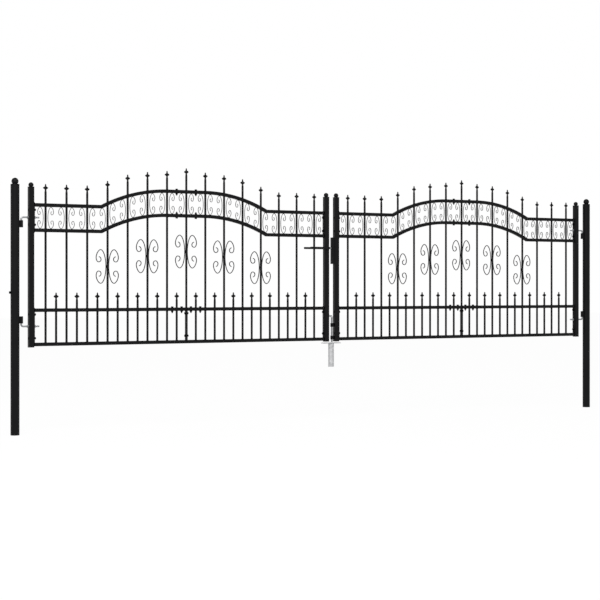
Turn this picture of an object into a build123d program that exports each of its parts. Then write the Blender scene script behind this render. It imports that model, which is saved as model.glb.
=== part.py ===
from build123d import *
import os
from math import cos, radians, sin, sqrt

# Double-leaf driveway gate in wrought-iron style, hung between two round posts.
# Millimetres. X runs along the gate from the left post, the street side faces -Y,
# and Z rises from the foot of the posts.

# Posts: round steel tubes with a closed foot, set in the ground up to ground_height
post_diameter = 62
post_wall = 3
post_height = 1750
ground_height = 600
post_cap_thickness = 5
post_ball_diameter = 49
ball_sides = 8
ball_tiers = 4

# Leaves: square stiles, square rails and bars between them
stile_width = 38
stile_wall = 2
stile_length = 1124
leaf_clearance = 11
rail_size = 25
bar_width = 16
bar_sides = 4
bar_pitch = 155.6
bars_per_half = 7
end_bar_offset = 107
meeting_gap = 52
hinge_gap = 66
stile_cap_thickness = 5
stile_ball_diameter = 36
seat_clearance = 0.1

# Rail heights, from the foot of the stiles to the middle of each rail; the band lies under the top rail
bottom_rail_height = 20
middle_rail_height = 261
top_rail_height = 1002
band_height = 178

# Arch of the two upper rails: level over the middle, then round down to the straight ends
arch_half_span = 669
arch_half_level = 150
arch_rise = 128

# Plates that close the half panels against the stiles and against each other
end_plate_thickness = 6
centre_plate_thickness = 6

# Spear points: how far the tips stand above the top rail, from the centre bar outwards
spear_height = 46.5
spear_width = 35
spear_thickness = 8
spear_rise = 150
spear_rise_shares = (1.17, 1, 0.99, 1.05, 1.1, 1, 1, 1)
spear_outline_shares = ((0.4, 0), (0.35, 0.11), (1, 0.43), (0.32, 0.62), (0.15, 1))
short_bar_rise = 124.5

# C-scrolls: quarter ellipses from the bar outwards, as shares of the scroll's half height,
# each bent in a few straight chords
scroll_half_height = 121.5
scroll_strip = 5.5
scroll_depth = 6
scroll_set_back = 5.5
scroll_quarter_shares = ((0.34, 1), (0.276, 0.465), (0.158, 0.264), (0.151, 0.141), (0.136, 0.166))
scroll_chords = (3, 3, 2, 1, 1)

# Bars that carry a pair of C-scrolls, and how far its middle lies under the straight ends of the band rail
scroll_bars = (0, 2, 4)
scroll_drops = (136.5, 174, 251.5)

# Hinges: bent rods through the stiles, turning in sleeves welded to the posts
rod_diameter = 12
rod_sides = 8
rod_bend_radius = 14
bend_chords = 3
rod_tail = 60
upper_rod_height = 913
lower_rod_height = 148
nut_width = 19
nut_thickness = 10
sleeve_length = 50
sleeve_diameter = 26
sleeve_web = 16
sleeve_offset = 21
pin_offset = 14
pin_clearance = 0.1
round_sides = 12

# Lever handles on the left leaf, with the latch and the keep that faces it
lever_height = 729
lever_length = 169
lever_thickness = 16
lever_depth = 14
lever_standoff = 51
lever_hub_diameter = 22
lever_neck_diameter = 16
rose_diameter = 32
rose_thickness = 5
spindle_width = 7
running_gap = 0.3
face_plate_length = 235
face_plate_width = 22
face_plate_thickness = 3
latch_height = 16
latch_width = 12
latch_reach = 23
keep_length = 207
keep_foot = 606
keep_reach = 24
keep_width = 30
keep_wall = 3
keep_slot_height = 36
keep_slot_width = 18

# Drop bolt on the right leaf and the ground sleeve that it drops into
bolt_diameter = 14
bolt_sides = 8
bolt_offset = 20
bolt_height = 199
bolt_foot_clearance = 5
bolt_arm_length = 80
bolt_bend_radius = 16
guide_diameter = 22
guide_web = 12
guide_length = 29
guide_heights = (129, 31)
ground_sleeve_diameter = 45
ground_sleeve_wall = 3
ground_sleeve_length = 188
ground_plate_length = 150
ground_plate_width = 50
ground_plate_thickness = 5
plate_over_ground = 2

# Places that follow from the sizes above
leaf_half_span = bars_per_half * bar_pitch + end_bar_offset
left_leaf_x = post_diameter / 2 + hinge_gap + stile_width / 2 + leaf_half_span
gate_middle_x = left_leaf_x + leaf_half_span + stile_width / 2 + meeting_gap / 2
right_leaf_x = 2 * gate_middle_x - left_leaf_x
right_post_x = 2 * gate_middle_x
hinge_x = post_diameter / 2 + pin_offset
stile_foot = ground_height + leaf_clearance
stile_top = stile_foot + stile_length
bottom_rail_z = stile_foot + bottom_rail_height
middle_rail_z = stile_foot + middle_rail_height
top_rail_z = stile_foot + top_rail_height
band_rail_z = top_rail_z - band_height
upper_rod_z = stile_foot + upper_rod_height
lower_rod_z = stile_foot + lower_rod_height
lever_z = stile_foot + lever_height
panel_end = leaf_half_span - stile_width / 2
arch_run = arch_half_span - arch_half_level
arch_radius = (arch_run**2 + arch_rise**2) / (2 * arch_rise)
arch_depth = arch_radius - arch_rise
bar_turn = 180 / bar_sides
rod_turn = 180 / rod_sides
bolt_turn = 180 / bolt_sides
ground_plate_top = ground_height + plate_over_ground
bolt_x = gate_middle_x + meeting_gap / 2 - bolt_offset
spindle_hole_radius = spindle_width / sqrt(2) + pin_clearance

os.makedirs("parts", exist_ok=True)


def save(piece, name):
    """Labels a finished piece and writes it as one STEP file."""
    piece.label = name
    export_step(piece, f"parts/{name}.step")


def arch_lift(offset):
    """Height that an arched rail gains at a distance from the leaf's centre."""
    run = abs(offset) - arch_half_level
    if run <= 0:
        return arch_rise
    if run >= arch_run:
        return 0
    return sqrt(arch_radius**2 - run**2) - arch_depth


def bar_top(number):
    """Height where the spear point sits on a bar, counted from the leaf's centre bar."""
    rise = spear_rise * spear_rise_shares[number]
    return top_rail_z + arch_lift(number * bar_pitch) + rise - spear_height


short_bar_top = middle_rail_z + short_bar_rise - spear_height


def bar_section(x, foot, margin=0):
    """The section of a bar of few sides, at its foot, with a margin for a hole that takes it."""
    with BuildSketch(Plane.XY.offset(foot)) as section:
        with Locations((x, 0)):
            RegularPolygon(bar_width / 2 + margin, bar_sides, major_radius=False, rotation=bar_turn)
    return section.sketch


def rod_holes(x):
    """The sections of the holes that take a leaf's two hinge rods."""
    with BuildSketch(Plane.YZ.offset(x)) as holes:
        with Locations((0, upper_rod_z), (0, lower_rod_z)):
            RegularPolygon(rod_diameter / 2 + seat_clearance, rod_sides, rotation=rod_turn)
    return holes.sketch


def bent_path(plane, start, corner, end, radius):
    """The middle line of a rod bent square: two straight runs joined by a quarter circle of a few chords."""
    first_run = (Vector(corner) - Vector(start)).normalized()
    last_run = (Vector(end) - Vector(corner)).normalized()
    centre = Vector(corner) + (last_run - first_run) * radius
    points = [start]
    for step in range(bend_chords + 1):
        angle = radians(90 * step / bend_chords)
        points.append(tuple(centre + (first_run * sin(angle) - last_run * cos(angle)) * radius))
    points.append(end)
    with BuildLine(plane) as path:
        Polyline(*points)
    return path.line


def arched_rail(x, side, z):
    """The elevation of half an arched rail, from the stile to the leaf's centre."""
    half = rail_size / 2
    centre_z = z - arch_depth

    def corners(edge):
        radius = arch_radius + edge
        run = sqrt(radius**2 - (arch_depth + edge) ** 2)
        haunch = centre_z + sqrt(radius**2 - (run / 2) ** 2)
        end_point = (x + side * panel_end, z + edge)
        spring_point = (x + side * (arch_half_level + run), z + edge)
        haunch_point = (x + side * (arch_half_level + run / 2), haunch)
        crest_point = (x + side * arch_half_level, centre_z + radius)
        middle_point = (x, centre_z + radius)
        return end_point, spring_point, haunch_point, crest_point, middle_point

    upper = corners(half)
    lower = corners(-half)
    with BuildSketch(Plane.XZ) as elevation:
        with BuildLine():
            Line(upper[0], upper[1])
            ThreePointArc(*upper[1:4])
            Line(upper[3], upper[4])
            Line(upper[4], lower[4])
            Line(lower[4], lower[3])
            ThreePointArc(*reversed(lower[1:4]))
            Line(lower[1], lower[0])
            Line(lower[0], upper[0])
        make_face()
    return elevation.sketch


def half_panel(name, x, side, hinged):
    """One welded half of a leaf: four rails, bars, short bars and the plates at its ends."""
    half_x = x + side * panel_end / 2
    plate_x = x + side * (panel_end - end_plate_thickness / 2)
    with BuildPart() as panel:
        extrude(arched_rail(x, side, top_rail_z), amount=rail_size / 2, both=True)
        extrude(arched_rail(x, side, band_rail_z), amount=rail_size / 2, both=True)
        with BuildSketch(Plane.XZ):
            with Locations((half_x, bottom_rail_z), (half_x, middle_rail_z)):
                Rectangle(panel_end, rail_size)
            with Locations((plate_x, (band_rail_z + top_rail_z) / 2)):
                Rectangle(end_plate_thickness, top_rail_z - band_rail_z)
            with Locations((plate_x, (bottom_rail_z + middle_rail_z) / 2)):
                Rectangle(end_plate_thickness, middle_rail_z - bottom_rail_z)
            with Locations((x + side * centre_plate_thickness / 2, (bottom_rail_z + middle_rail_z) / 2)):
                Rectangle(centre_plate_thickness, middle_rail_z - bottom_rail_z)
        extrude(amount=rail_size / 2, both=True)
        for number in range(1, bars_per_half + 1):
            bar_x = x + side * number * bar_pitch
            extrude(bar_section(bar_x, bottom_rail_z), amount=bar_top(number) - bottom_rail_z)
            short_x = bar_x - side * bar_pitch / 2
            extrude(bar_section(short_x, bottom_rail_z), amount=short_bar_top - bottom_rail_z)
        seat = bar_section(x, middle_rail_z - rail_size / 2, seat_clearance)
        extrude(seat, amount=bar_top(0) - middle_rail_z, mode=Mode.SUBTRACT)
        if hinged:
            holes = rod_holes(x + side * panel_end)
            extrude(holes, amount=end_plate_thickness + seat_clearance, both=True, mode=Mode.SUBTRACT)
    save(panel.part, name)


def stile(name, x, rods, spindle):
    """A square tube, open at its foot, drilled for the hinge rods or the lock's spindle."""
    with BuildPart() as tube:
        with BuildSketch(Plane.XY.offset(stile_foot)):
            with Locations((x, 0)):
                Rectangle(stile_width, stile_width)
                Rectangle(stile_width - 2 * stile_wall, stile_width - 2 * stile_wall, mode=Mode.SUBTRACT)
        extrude(amount=stile_length)
        if rods:
            extrude(rod_holes(x), amount=stile_width, both=True, mode=Mode.SUBTRACT)
        if spindle:
            with BuildSketch(Plane.XZ):
                with Locations((x, lever_z)):
                    RegularPolygon(spindle_hole_radius, round_sides, major_radius=False)
            extrude(amount=stile_width, both=True, mode=Mode.SUBTRACT)
    save(tube.part, name)


def ball(diameter):
    """A ball of few flat faces, standing on the origin."""
    radius = diameter / 2
    with BuildPart() as solid:
        for tier in range(ball_tiers + 1):
            angle = radians(180 * (tier + 1 / 2) / (ball_tiers + 1) - 90)
            with BuildSketch(Plane.XY.offset(radius + radius * sin(angle))):
                RegularPolygon(radius * cos(angle), ball_sides)
        loft(ruled=True)
    return solid.part


stile_ball = ball(stile_ball_diameter)
with BuildPart() as stile_cap:
    Box(stile_width, stile_width, stile_cap_thickness, align=(Align.CENTER, Align.CENTER, Align.MIN))
    add(stile_ball)

post_ball = ball(post_ball_diameter)
with BuildPart() as post_cap:
    Cylinder(post_diameter / 2, post_cap_thickness, align=(Align.CENTER, Align.CENTER, Align.MIN))
    add(post_ball)

# One flat spear point, standing on the end of its bar
with BuildPart() as spear:
    with BuildSketch(Plane.XZ):
        with BuildLine():
            right_edge = [(spear_width / 2 * w, spear_height * h) for w, h in spear_outline_shares]
            left_edge = [(-width, height) for width, height in reversed(right_edge)]
            Polyline(*right_edge, *left_edge, close=True)
        make_face()
    extrude(amount=spear_thickness / 2, both=True)


def scroll_edge(side, end, edge):
    """The points of one edge of half a C-scroll, along its tangent quarter ellipses from the bar."""
    x = bar_width / 2 + scroll_strip / 2 + seat_clearance
    z = 0
    start = 180
    points = []
    for (width_share, height_share), chords in zip(scroll_quarter_shares, scroll_chords):
        width = width_share * scroll_half_height
        height = height_share * scroll_half_height
        centre_x = x - width * cos(radians(start))
        centre_z = z - height * sin(radians(start))
        for step in range(chords + 1):
            angle = radians(start - 90 * step / chords)
            edge_x = centre_x + (width + edge) * cos(angle)
            edge_z = centre_z + (height + edge) * sin(angle)
            if step > 0 or not points:
                points.append((side * edge_x, end * edge_z))
        start = start - 90
        x = centre_x + width * cos(radians(start))
        z = centre_z + height * sin(radians(start))
    return points


# A pair of C-scrolls, back to back on their bar
with BuildPart() as scroll_pair:
    for side in (-1, 1):
        upper_outer = scroll_edge(side, 1, scroll_strip / 2)
        upper_inner = scroll_edge(side, 1, -scroll_strip / 2)
        lower_outer = scroll_edge(side, -1, scroll_strip / 2)
        lower_inner = scroll_edge(side, -1, -scroll_strip / 2)
        with BuildSketch(Plane.XZ):
            with BuildLine():
                upper_half = upper_outer + upper_inner[::-1]
                lower_half = lower_inner[1:] + lower_outer[:0:-1]
                Polyline(*upper_half, *lower_half, close=True)
            make_face()
        extrude(amount=scroll_depth / 2, both=True)


def leaf(hand, x, toward_meeting):
    """All the fixed iron of one leaf, from its stiles to its scrolls."""
    hinge_stile_x = x - toward_meeting * leaf_half_span
    meeting_stile_x = x + toward_meeting * leaf_half_span
    stile(f"{hand}_hinge_stile", hinge_stile_x, rods=True, spindle=False)
    stile(f"{hand}_meeting_stile", meeting_stile_x, rods=False, spindle=hand == "left")
    half_panel(f"{hand}_hinge_side_panel", x, -toward_meeting, hinged=True)
    half_panel(f"{hand}_meeting_side_panel", x, toward_meeting, hinged=False)

    centre_bar_foot = middle_rail_z - rail_size / 2
    with BuildPart() as centre_bar:
        extrude(bar_section(x, centre_bar_foot), amount=bar_top(0) - centre_bar_foot)
    save(centre_bar.part, f"{hand}_centre_bar")

    with BuildPart() as caps:
        with Locations((hinge_stile_x, 0, stile_top), (meeting_stile_x, 0, stile_top)):
            add(stile_cap.part)
    save(caps.part, f"{hand}_stile_caps")

    places = []
    for number in range(-bars_per_half, bars_per_half + 1):
        places.append((x + number * bar_pitch, 0, bar_top(abs(number))))
    for number in range(-bars_per_half, bars_per_half):
        places.append((x + (number + 1 / 2) * bar_pitch, 0, short_bar_top))
    with BuildPart() as points:
        with Locations(*places):
            add(spear.part)
    save(points.part, f"{hand}_spear_points")

    places = []
    for number, drop in zip(scroll_bars, scroll_drops):
        for bar in sorted({-number, number}):
            places.append((x + bar * bar_pitch, scroll_set_back, band_rail_z - drop))
    with BuildPart() as scrolls:
        with Locations(*places):
            add(scroll_pair.part)
    save(scrolls.part, f"{hand}_leaf_scrolls")

    pin_x = hinge_stile_x - toward_meeting * (stile_width / 2 + hinge_gap - pin_offset)
    tail_x = hinge_stile_x + toward_meeting * rod_tail
    nut_faces = (
        hinge_stile_x - toward_meeting * (stile_width / 2 + nut_thickness / 2),
        hinge_stile_x + toward_meeting * (stile_width / 2 + end_plate_thickness + nut_thickness / 2),
    )
    with BuildPart() as rods:
        for z, toward_sleeve in ((upper_rod_z, -1), (lower_rod_z, 1)):
            pin_end = z + toward_sleeve * (sleeve_offset + sleeve_length)
            path = bent_path(Plane.XZ, (tail_x, z), (pin_x, z), (pin_x, pin_end), rod_bend_radius)
            with BuildSketch(Plane(origin=path @ 0, z_dir=path % 0)):
                RegularPolygon(rod_diameter / 2, rod_sides, rotation=rod_turn)
            sweep(path=path, transition=Transition.RIGHT)
            for nut_x in nut_faces:
                with BuildSketch(Plane.YZ.offset(nut_x)):
                    with Locations((0, z)):
                        RegularPolygon(nut_width / 2, 6, major_radius=False)
                extrude(amount=nut_thickness / 2, both=True)
    save(rods.part, f"{hand}_hinge_rods")


def post(name, x):
    """A round tube with a closed foot."""
    with BuildPart() as tube:
        with Locations((x, 0, 0)):
            Cylinder(post_diameter / 2, post_height, align=(Align.CENTER, Align.CENTER, Align.MIN))
        with Locations((x, 0, post_wall)):
            inner_radius = post_diameter / 2 - post_wall
            bottom = (Align.CENTER, Align.CENTER, Align.MIN)
            Cylinder(inner_radius, post_height, align=bottom, mode=Mode.SUBTRACT)
    save(tube.part, name)


def hinge_sleeves(name, x, toward_gate):
    """The two sleeves of a post, each with a web shaped to the post's round."""
    pin_x = x + toward_gate * hinge_x
    upper_z = upper_rod_z - sleeve_offset - sleeve_length / 2
    lower_z = lower_rod_z + sleeve_offset + sleeve_length / 2
    with BuildPart() as sleeves:
        for z in (upper_z, lower_z):
            with BuildSketch(Plane.XY.offset(z)):
                with Locations((pin_x, 0)):
                    RegularPolygon(sleeve_diameter / 2, round_sides)
                with Locations(((x + pin_x) / 2, 0)):
                    Rectangle(hinge_x, sleeve_web)
                with Locations((pin_x, 0)):
                    bore = rod_diameter / 2 + pin_clearance
                    RegularPolygon(bore, round_sides, major_radius=False, mode=Mode.SUBTRACT)
                with Locations((x, 0)):
                    Circle(post_diameter / 2 + seat_clearance, mode=Mode.SUBTRACT)
            extrude(amount=sleeve_length / 2, both=True)
    save(sleeves.part, name)


post("left_post", 0)
post("right_post", right_post_x)
hinge_sleeves("left_hinge_sleeves", 0, 1)
hinge_sleeves("right_hinge_sleeves", right_post_x, -1)

with BuildPart() as post_caps:
    with Locations((0, 0, post_height), (right_post_x, 0, post_height)):
        add(post_cap.part)
save(post_caps.part, "post_caps")

leaf("left", left_leaf_x, 1)
leaf("right", right_leaf_x, -1)

# Ground sleeve: a tube under a flat plate, set in the middle of the gateway
with BuildPart() as ground_sleeve:
    with BuildSketch(Plane.XY.offset(ground_plate_top)):
        with Locations((gate_middle_x, 0)):
            Rectangle(ground_plate_length, ground_plate_width)
    extrude(amount=-ground_plate_thickness)
    with BuildSketch(Plane.XY.offset(ground_plate_top)):
        with Locations((gate_middle_x, 0)):
            RegularPolygon(ground_sleeve_diameter / 2, round_sides, major_radius=False)
    extrude(amount=-ground_sleeve_length)
    with BuildSketch(Plane.XY.offset(ground_plate_top)):
        with Locations((gate_middle_x, 0)):
            RegularPolygon(ground_sleeve_diameter / 2 - ground_sleeve_wall, round_sides, major_radius=False)
    extrude(amount=-ground_sleeve_length, mode=Mode.SUBTRACT)
save(ground_sleeve.part, "ground_sleeve")

# Drop bolt: a rod with its top bent back as a handle
with BuildPart() as drop_bolt:
    bolt_foot = ground_plate_top + bolt_foot_clearance
    bolt_top = stile_foot + bolt_height
    corners = (0, bolt_foot), (0, bolt_top), (bolt_arm_length, bolt_top)
    bolt_path = bent_path(Plane.YZ.offset(bolt_x), *corners, bolt_bend_radius)
    with BuildSketch(Plane.XY.offset(bolt_foot)):
        with Locations((bolt_x, 0)):
            RegularPolygon(bolt_diameter / 2, bolt_sides)
    sweep(path=bolt_path, transition=Transition.RIGHT)
save(drop_bolt.part, "drop_bolt")

# Guides of the drop bolt, on the side of the right leaf's meeting stile
with BuildPart() as bolt_guides:
    for guide_height in guide_heights:
        with BuildSketch(Plane.XY.offset(stile_foot + guide_height)):
            with Locations((bolt_x, 0)):
                RegularPolygon(guide_diameter / 2, bolt_sides, major_radius=False, rotation=bolt_turn)
            with Locations((bolt_x + bolt_offset / 2, 0)):
                Rectangle(bolt_offset, guide_web)
            with Locations((bolt_x, 0)):
                RegularPolygon(bolt_diameter / 2 + pin_clearance, bolt_sides, mode=Mode.SUBTRACT)
        extrude(amount=guide_length / 2, both=True)
save(bolt_guides.part, "drop_bolt_guides")

# Lock: face plate and latch nose on the left meeting stile, roses for the levers
lock_face_x = gate_middle_x - meeting_gap / 2
lock_stile_x = lock_face_x - stile_width / 2
with BuildPart() as face_plate:
    with BuildSketch(Plane.YZ.offset(lock_face_x)):
        with Locations((0, stile_foot + keep_foot + keep_length / 2)):
            RectangleRounded(face_plate_width, face_plate_length, face_plate_width / 4)
    extrude(amount=face_plate_thickness)
save(face_plate.part, "lock_face_plate")

with BuildPart() as latch:
    with BuildSketch(Plane.YZ.offset(lock_face_x + face_plate_thickness)):
        with Locations((0, lever_z)):
            Rectangle(latch_width, latch_height)
    extrude(amount=latch_reach - face_plate_thickness)
    nose = latch.edges().filter_by(Axis.Z).group_by(Axis.X)[-1].sort_by(Axis.Y)[-1]
    chamfer(nose, latch_width / 2)
save(latch.part, "latch")

with BuildPart() as roses:
    for toward_front in (-1, 1):
        with BuildSketch(Plane.XZ.offset(toward_front * stile_width / 2)):
            with Locations((lock_stile_x, lever_z)):
                RegularPolygon(rose_diameter / 2, round_sides)
                RegularPolygon(spindle_hole_radius, round_sides, major_radius=False, mode=Mode.SUBTRACT)
        extrude(amount=toward_front * rose_thickness)
save(roses.part, "lever_roses")

# Keep: a folded box on the right meeting stile, slotted for the latch
keep_face_x = lock_face_x + meeting_gap
with BuildPart() as keep:
    with BuildSketch(Plane.YZ.offset(keep_face_x)):
        with Locations((0, stile_foot + keep_foot + keep_length / 2)):
            Rectangle(keep_width, keep_length)
    extrude(amount=-keep_reach)
    with BuildSketch(Plane.YZ.offset(keep_face_x)):
        with Locations((0, stile_foot + keep_foot + keep_length / 2)):
            Rectangle(keep_width - 2 * keep_wall, keep_length - 2 * keep_wall)
    extrude(amount=keep_wall - keep_reach, mode=Mode.SUBTRACT)
    with BuildSketch(Plane.YZ.offset(keep_face_x)):
        with Locations((0, lever_z)):
            Rectangle(keep_slot_width, keep_slot_height)
    extrude(amount=-keep_reach, mode=Mode.SUBTRACT)
save(keep.part, "lock_keep")


def lever(name, facing):
    """A flat lever on a round neck, pointing away from the meeting gap."""
    neck_start = stile_width / 2 + rose_thickness + running_gap
    bar_near = lever_standoff - lever_depth / 2
    with BuildPart() as handle:
        with BuildSketch(Plane.XZ.offset(-facing * neck_start)):
            with Locations((lock_stile_x, lever_z)):
                RegularPolygon(lever_neck_diameter / 2, round_sides)
        extrude(amount=-facing * (bar_near - neck_start))
        with BuildSketch(Plane.XZ.offset(-facing * bar_near)):
            with Locations((lock_stile_x, lever_z)):
                RegularPolygon(lever_hub_diameter / 2, round_sides)
            reach = lever_length - lever_thickness / 2
            with Locations((lock_stile_x - reach / 2, lever_z)):
                SlotCenterToCenter(reach, lever_thickness)
        extrude(amount=-facing * lever_depth)
    save(handle.part, name)


lever("front_lever", -1)
lever("back_lever", 1)

with BuildPart() as spindle:
    with BuildSketch(Plane.XZ):
        with Locations((lock_stile_x, lever_z)):
            Rectangle(spindle_width, spindle_width)
    extrude(amount=stile_width / 2 + rose_thickness + running_gap, both=True)
save(spindle.part, "lock_spindle")
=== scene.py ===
from math import cos, pi, radians, sin

import bmesh
import bpy
import numpy as np
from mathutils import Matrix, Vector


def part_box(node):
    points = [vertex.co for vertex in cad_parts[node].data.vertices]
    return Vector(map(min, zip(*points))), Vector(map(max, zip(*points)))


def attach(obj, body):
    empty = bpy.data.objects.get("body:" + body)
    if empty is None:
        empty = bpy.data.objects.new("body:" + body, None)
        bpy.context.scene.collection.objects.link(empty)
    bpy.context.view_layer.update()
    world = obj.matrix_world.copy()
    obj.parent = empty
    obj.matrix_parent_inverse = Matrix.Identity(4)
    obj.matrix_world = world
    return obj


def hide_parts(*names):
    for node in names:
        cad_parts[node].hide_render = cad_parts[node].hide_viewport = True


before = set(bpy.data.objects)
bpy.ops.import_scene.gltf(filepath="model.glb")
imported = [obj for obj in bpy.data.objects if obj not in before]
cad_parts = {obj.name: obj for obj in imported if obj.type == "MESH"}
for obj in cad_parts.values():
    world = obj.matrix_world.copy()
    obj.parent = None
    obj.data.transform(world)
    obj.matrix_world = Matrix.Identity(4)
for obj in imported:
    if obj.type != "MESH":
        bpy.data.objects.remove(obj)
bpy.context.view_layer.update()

# Posts: two round steel tubes, powder coated, set in footings up to the ground line.
# A welded foot closes each below; a disc with a turned ball is pressed into its top.

MM = 0.001


def corners(node):
    """The lowest and the highest corner of a CAD node, in millimetres."""
    return np.array([list(corner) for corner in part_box(node)]) / MM


def skin(rings, loop=False):
    """A surface on a grid: rings[..., i, j] is point j of ring i. Four-sided faces join each ring to the
    next, and a flat face closes both ends; with loop the last ring joins the first instead."""
    rings = np.asarray(rings, float)
    rings = rings.reshape(-1, *rings.shape[-3:])
    index = np.arange(rings[..., 0].size).reshape(rings.shape[:3])
    here = index if loop else index[:, :-1]
    there = np.roll(index, -1, 1) if loop else index[:, 1:]
    sides = np.stack([here, np.roll(here, -1, 2), np.roll(there, -1, 2), there], -1).reshape(-1, 4)
    ends = [] if loop else [index[:, 0], index[:, -1]]
    return rings.reshape(-1, 3), [sides, *ends]


def turned(profile, centre, axis=2, columns=48):
    """A profile turned round an axis: ring i lies at radius profile[i, 0] and height profile[i, 1], and its
    points stand at even angles round the centre."""
    radius, height = np.array(profile, float).T[:, :, None]
    angle = np.linspace(0, 2 * pi, columns, endpoint=False)
    rings = np.stack(np.broadcast_arrays(radius * np.cos(angle), radius * np.sin(angle), height), -1)
    return np.roll(rings, (axis + 1) % 3, -1) + np.asarray(centre, float)


def ball_profile(radius, seat, rows=20):
    """Radius and height along a ball's meridian, from the angle of its seat, below its middle, to just
    short of its pole. Its lowest point would lie at height 0."""
    angle = np.linspace(seat, pi / 2 * 0.995, rows)
    return np.stack([radius * np.cos(angle), radius + radius * np.sin(angle)], -1)


def make(name, body, finish, surfaces, nodes=()):
    """One piece from several closed surfaces given in millimetres: faces turned outwards, shaded smooth but
    for its sharp edges, riding on a CAD body and standing for its CAD nodes. Its finish is a pair of a
    material slot's name, which is not used, and the material that shows it."""
    slot, material = finish
    sharp_angle = radians(40)
    points = np.concatenate([surface[0] for surface in surfaces]) * MM
    faces = []
    start = 0
    for surface_points, surface_faces in surfaces:
        for block_of_faces in surface_faces:
            faces += (block_of_faces + start).tolist()
        start += len(surface_points)
    mesh = bpy.data.meshes.new(name)
    mesh.from_pydata(points.tolist(), [], faces)
    shell = bmesh.new()
    shell.from_mesh(mesh)
    bmesh.ops.recalc_face_normals(shell, faces=shell.faces[:])
    shell.to_mesh(mesh)
    shell.free()
    mesh.polygons.foreach_set("use_smooth", np.ones(len(mesh.polygons), bool))
    mesh.set_sharp_from_angle(angle=sharp_angle)
    mesh.materials.append(material)
    piece = bpy.data.objects.new(name, mesh)
    bpy.context.collection.objects.link(piece)
    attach(piece, body)
    if nodes:
        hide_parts(*nodes)


def linear(colour):
    """An sRGB hex colour as linear red, green, blue and alpha."""
    channel = np.array([int(colour[i:i + 2], 16) for i in (1, 3, 5)]) / 255
    dark = channel / 12.92
    bright = ((channel + 0.055) / 1.055) ** 2.4
    return (*np.where(channel <= 0.04045, dark, bright).tolist(), 1.0)


def add_node(tree, kind, inputs, **settings):
    """Adds a shader node with its settings; an input that is a socket is linked, any other is set."""
    added = tree.nodes.new(kind)
    for name, value in settings.items():
        setattr(added, name, value)
    for name, value in inputs.items():
        if isinstance(value, bpy.types.NodeSocket):
            tree.links.new(value, added.inputs[name])
        else:
            added.inputs[name].default_value = value
    return added


def bare_material(name):
    """A new material with its shader and the Object coordinates that its patterns follow."""
    material = bpy.data.materials.new(name)
    material.use_nodes = True
    tree = material.node_tree
    shader = tree.nodes["Principled BSDF"]
    coordinates = tree.nodes.new("ShaderNodeTexCoord").outputs["Object"]
    return material, tree, shader, coordinates


def vary(tree, shader, tint_pattern, colours, gloss_pattern, roughness):
    """Lets one pattern blend two colours over the surface, and one blend two roughnesses."""
    tint = add_node(tree, "ShaderNodeMix",
                    {"Factor": tint_pattern, "A": linear(colours[0]), "B": linear(colours[1])},
                    data_type="RGBA")
    gloss = add_node(tree, "ShaderNodeMapRange",
                     {"Value": gloss_pattern, "To Min": roughness[0], "To Max": roughness[1]})
    tree.links.new(tint.outputs["Result"], shader.inputs["Base Color"])
    tree.links.new(gloss.outputs["Result"], shader.inputs["Roughness"])


def powder_coat():
    """Black polyester powder, sprayed on dry and baked: an even satin black with a fine orange peel that
    breaks up the reflections, and faint clouds where the coat is thinner. The peel is drawn four times too
    coarse, so that it shows."""
    peel_size = 8 * MM
    peel_height = 0.4 * MM
    cloud_size = 150 * MM
    material, tree, shader, coordinates = bare_material("satin_black_polyester_powder_coat")
    cloud = add_node(tree, "ShaderNodeTexNoise",
                     {"Vector": coordinates, "Scale": 1 / cloud_size, "Detail": 4.0, "Roughness": 0.6})
    vary(tree, shader, cloud.outputs["Fac"], ("#080809", "#111112"), cloud.outputs["Fac"], (0.36, 0.5))
    peel = add_node(tree, "ShaderNodeTexNoise",
                    {"Vector": coordinates, "Scale": 1 / peel_size, "Detail": 2.0, "Roughness": 0.5})
    bump = add_node(tree, "ShaderNodeBump",
                    {"Height": peel.outputs["Fac"], "Strength": 0.25, "Distance": peel_height})
    tree.links.new(bump.outputs["Normal"], shader.inputs["Normal"])
    shader.inputs["IOR"].default_value = 1.5
    shader.inputs["Specular IOR Level"].default_value = 0.1
    return material


black_coat = ("black_powder_coat", powder_coat())

# The way along the gate from each post to the middle of the gateway
gate_sides = {"left": 1, "right": -1}
low, high = corners("left_post")
post_radius = (high[0] - low[0]) / 2
post_top = high[2]
post_middles = {hand: corners(f"{hand}_post").mean(0) * (1, 1, 0) for hand in gate_sides}
post_edge = 0.8
# How far the middle of a rounded edge lies inside its corner, as a share of its radius
round_share = 0.3
cap_thickness = 5
cap_ball = 49 / 2
cap_ball_seat = radians(-44)
cap_neck = 15.4
cap_fillet = np.array([(3, 0), (1, 0.4), (0.4, 1.2)]) + (cap_neck, cap_thickness)

rounded_foot = np.array([(-1, 0), (-round_share, round_share), (0, 1)]) * post_edge + (post_radius, 0)
rounded_brow = rounded_foot[::-1] * (1, -1) + (0, cap_thickness)
post_wall = [(post_radius, 2 * post_edge), (post_radius, post_top - post_edge), (post_radius, post_top)]
post_profile = np.concatenate([rounded_foot, post_wall])
cap_profile = np.concatenate([rounded_foot, rounded_brow, [(post_radius - 2 * post_edge, cap_thickness)],
                              cap_fillet, ball_profile(cap_ball, cap_ball_seat)])
for hand, middle in post_middles.items():
    make(f"{hand}_post_tube", "posts", black_coat, [skin(turned(post_profile, middle))], [f"{hand}_post"])
caps = [skin(turned(cap_profile, middle + (0, 0, post_top))) for middle in post_middles.values()]
make("post_ball_caps", "posts", black_coat, caps, ["post_caps"])

# Hinge sleeves: short thick tubes, each on a flat web that is welded to the post.
# The pins of the bent hinge rods enter the upper pair from above and the lower pair from below.


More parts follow.
